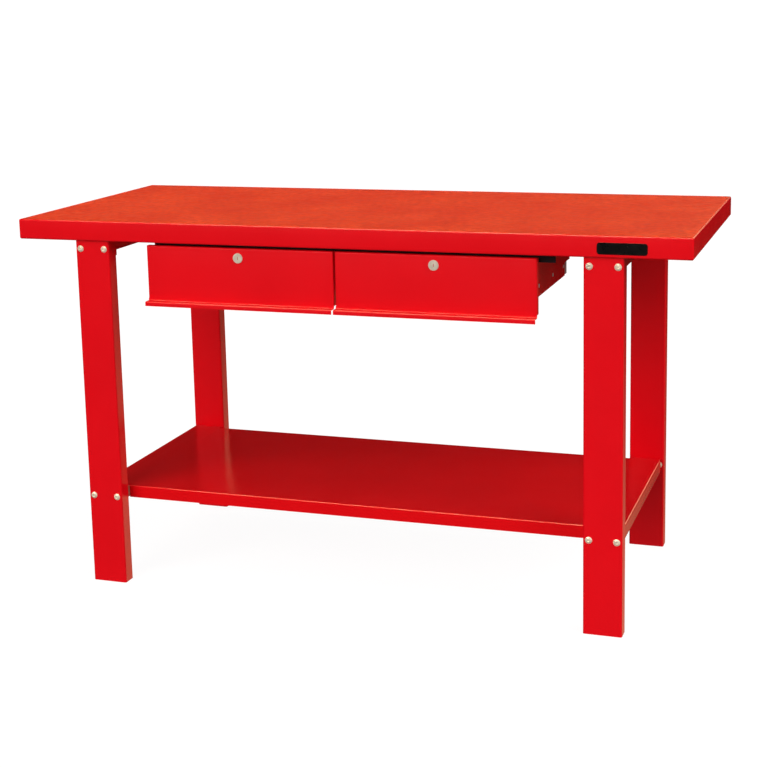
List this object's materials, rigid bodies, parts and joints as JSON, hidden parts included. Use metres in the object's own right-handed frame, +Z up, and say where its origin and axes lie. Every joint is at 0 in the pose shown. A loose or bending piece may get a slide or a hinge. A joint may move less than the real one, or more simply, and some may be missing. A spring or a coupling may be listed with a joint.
{
  "type": "workbench with drawers",
  "caption": "Powder-coated steel workbench: folded worktop, bolted channel legs, lower shelf and lockable drawers on telescopic runners.",
  "frame": {"origin": "on the floor, under the middle of the bench's bounding box", "axes": "+X to the right as seen from the front, +Y from the front to the back, +Z up; the drawers open towards -Y"},
  "size_m": [1.5, 0.661, 0.84],
  "materials": {
    "red_paint": "gloss red powder coat",
    "worktop_paint": "red powder coat with a fine orange-peel grain",
    "black_paint": "satin black",
    "label": "plain black film",
    "zinc_fasteners": "bright zinc plate",
    "runner_steel": "zinc-plated sheet",
    "lock_nickel": "satin nickel"
  },
  "bodies": {
    "bench": {"worktop_shell": "worktop_paint", "worktop_stiffener_front": "red_paint", "worktop_stiffener_middle": "red_paint", "worktop_stiffener_rear": "red_paint", "leg_front_left": "red_paint", "leg_front_right": "red_paint", "leg_rear_left": "red_paint", "leg_rear_right": "red_paint", "top_rail_left": "red_paint", "top_rail_right": "red_paint", "shelf_rail_left": "red_paint", "shelf_rail_right": "red_paint", "shelf_tray": "red_paint", "shelf_stiffener": "red_paint", "leg_bolts": "zinc_fasteners", "leg_washers": "zinc_fasteners", "leg_nuts": "zinc_fasteners", "worktop_screws": "zinc_fasteners", "lock_rail": "black_paint", "lock_catch": "black_paint", "carrier_screws": "zinc_fasteners", "hanger_left": "red_paint", "hanger_centre": "red_paint", "hanger_right": "red_paint", "label_plate": "label", "left_runner_outer_l": "runner_steel", "left_runner_outer_r": "runner_steel", "right_runner_outer_l": "runner_steel", "right_runner_outer_r": "runner_steel", "runner_rivets": "runner_steel"},
    "left_drawer": {"left_tub": "red_paint", "left_front": "red_paint", "left_front_nuts": "zinc_fasteners", "left_runner_inner_l": "runner_steel", "left_runner_inner_r": "runner_steel", "left_runner_screws": "zinc_fasteners", "left_lock_housing": "lock_nickel", "left_lock_nut": "zinc_fasteners"},
    "left_lock": {"left_lock_plug": "lock_nickel", "left_lock_cam": "zinc_fasteners", "left_cam_screw": "zinc_fasteners"},
    "left_runner_middles": {"left_runner_middle_l": "runner_steel", "left_runner_middle_r": "runner_steel"},
    "left_outer_cages": {"left_outer_ball_cages": "runner_steel"},
    "left_inner_cages": {"left_inner_ball_cages": "runner_steel"},
    "right_drawer": {"right_tub": "red_paint", "right_front": "red_paint", "right_front_nuts": "zinc_fasteners", "right_runner_inner_l": "runner_steel", "right_runner_inner_r": "runner_steel", "right_runner_screws": "zinc_fasteners", "right_lock_housing": "lock_nickel", "right_lock_nut": "zinc_fasteners"},
    "right_lock": {"right_lock_plug": "lock_nickel", "right_lock_cam": "zinc_fasteners", "right_cam_screw": "zinc_fasteners"},
    "right_runner_middles": {"right_runner_middle_l": "runner_steel", "right_runner_middle_r": "runner_steel"},
    "right_outer_cages": {"right_outer_ball_cages": "runner_steel"},
    "right_inner_cages": {"right_inner_ball_cages": "runner_steel"}
  },
  "joints": [
    {"name": "left_drawer_slide", "type": "slide", "parent": "bench", "child": "left_drawer", "axis": [0, -1, 0], "range_m": [0, 0.3]},
    {"name": "left_runner_middles_slide", "type": "slide", "parent": "bench", "child": "left_runner_middles", "axis": [0, -1, 0], "range_m": [0, 0.15]},
    {"name": "left_outer_cages_slide", "type": "slide", "parent": "bench", "child": "left_outer_cages", "axis": [0, -1, 0], "range_m": [0, 0.075]},
    {"name": "left_inner_cages_slide", "type": "slide", "parent": "bench", "child": "left_inner_cages", "axis": [0, -1, 0], "range_m": [0, 0.225]},
    {"name": "left_lock_turn", "type": "hinge", "parent": "left_drawer", "child": "left_lock", "pos_m": [-0.2195, -0.3125, 0.767], "axis": [0, -1, 0], "range_deg": [0, 90]},
    {"name": "right_drawer_slide", "type": "slide", "parent": "bench", "child": "right_drawer", "axis": [0, -1, 0], "range_m": [0, 0.3]},
    {"name": "right_runner_middles_slide", "type": "slide", "parent": "bench", "child": "right_runner_middles", "axis": [0, -1, 0], "range_m": [0, 0.15]},
    {"name": "right_outer_cages_slide", "type": "slide", "parent": "bench", "child": "right_outer_cages", "axis": [0, -1, 0], "range_m": [0, 0.075]},
    {"name": "right_inner_cages_slide", "type": "slide", "parent": "bench", "child": "right_inner_cages", "axis": [0, -1, 0], "range_m": [0, 0.225]},
    {"name": "right_lock_turn", "type": "hinge", "parent": "right_drawer", "child": "right_lock", "pos_m": [0.2195, -0.3125, 0.767], "axis": [0, -1, 0], "range_deg": [0, 90]}
  ],
  "couplings": [
    {"joint": "left_runner_middles_slide", "follows": "left_drawer_slide", "ratio": 0.5},
    {"joint": "left_outer_cages_slide", "follows": "left_drawer_slide", "ratio": 0.25},
    {"joint": "left_inner_cages_slide", "follows": "left_drawer_slide", "ratio": 0.75},
    {"joint": "right_runner_middles_slide", "follows": "right_drawer_slide", "ratio": 0.5},
    {"joint": "right_outer_cages_slide", "follows": "right_drawer_slide", "ratio": 0.25},
    {"joint": "right_inner_cages_slide", "follows": "right_drawer_slide", "ratio": 0.75}
  ]
}
